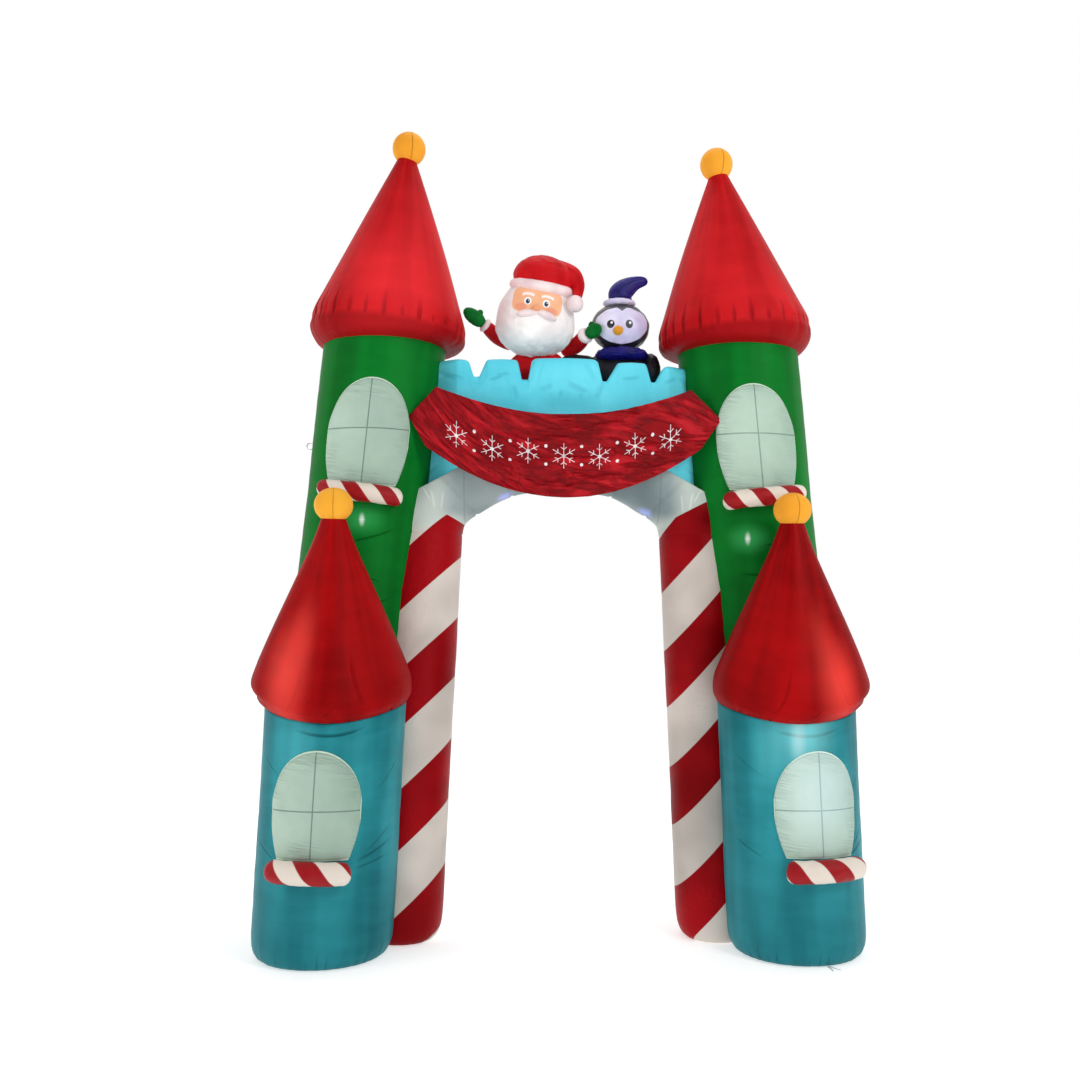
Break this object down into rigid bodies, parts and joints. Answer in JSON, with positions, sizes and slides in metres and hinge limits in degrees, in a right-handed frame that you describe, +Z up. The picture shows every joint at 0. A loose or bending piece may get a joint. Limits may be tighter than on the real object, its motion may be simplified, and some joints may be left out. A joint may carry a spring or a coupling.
{
  "type": "inflatable arch",
  "caption": "Air-filled walk-through arch: candy-striped legs under a band, towers and small turrets at each side, a battlement wall with a banner and two winter figures.",
  "frame": {"origin": "middle of the footprint on the ground, under the middle of the overall box", "axes": "+Z up, front (banner side) towards -Y, +X to the right as seen from the front"},
  "size_m": [2.5536, 1.0757, 3.594],
  "materials": {
    "ball_gold": "thin glossy coated polyester",
    "band_white": "thin glossy coated polyester",
    "banner_red": "thin unlined polyester",
    "candy_stripe": "thin glossy coated polyester",
    "figure_green": "thin glossy coated polyester",
    "figure_red": "thin glossy coated polyester",
    "figure_skin": "thin glossy coated polyester",
    "figure_white": "thin glossy coated polyester",
    "penguin_black": "thin glossy coated polyester",
    "penguin_gold": "thin glossy coated polyester",
    "penguin_navy": "thin glossy coated polyester",
    "penguin_pale": "thin glossy coated polyester",
    "roof_red": "thin glossy coated polyester",
    "tower_green": "thin glossy coated polyester",
    "turret_teal": "thin glossy coated polyester",
    "wall_cyan": "thin glossy coated polyester",
    "webbing_grey": "woven webbing tape",
    "window_pale": "thin glossy coated polyester"
  },
  "bodies": {
    "root": {"arch_band": "band_white", "arch_corner_left": "band_white", "arch_corner_right": "band_white", "banner": "banner_red", "battlement_wall": "wall_cyan", "bearded_cap": "figure_red", "bearded_cap_brim": "figure_white", "bearded_coat": "figure_red", "bearded_cuff_left": "figure_white", "bearded_cuff_right": "figure_white", "bearded_face": "figure_skin", "bearded_head": "figure_white", "bearded_mitten_left": "figure_green", "bearded_mitten_right": "figure_green", "bearded_pompom": "figure_white", "bearded_sleeve_left": "figure_red", "bearded_sleeve_right": "figure_red", "foot_tie": "webbing_grey", "leg_left": "candy_stripe", "leg_right": "candy_stripe", "penguin_beak": "penguin_gold", "penguin_body": "penguin_black", "penguin_face": "penguin_pale", "penguin_hat": "penguin_navy", "penguin_hat_band": "figure_white", "penguin_head": "penguin_black", "penguin_scarf": "penguin_navy", "penguin_wing_left": "penguin_black", "penguin_wing_right": "penguin_black", "tether_loop": "webbing_grey", "tower_ball_left": "ball_gold", "tower_ball_right": "ball_gold", "tower_left": "tower_green", "tower_right": "tower_green", "tower_roof_left": "roof_red", "tower_roof_right": "roof_red", "tower_sill_left": "candy_stripe", "tower_sill_right": "candy_stripe", "tower_window_left": "window_pale", "tower_window_right": "window_pale", "turret_ball_left": "ball_gold", "turret_ball_right": "ball_gold", "turret_left": "turret_teal", "turret_right": "turret_teal", "turret_roof_left": "roof_red", "turret_roof_right": "roof_red", "turret_sill_left": "candy_stripe", "turret_sill_right": "candy_stripe", "turret_window_left": "window_pale", "turret_window_right": "window_pale"}
  },
  "joints": []
}
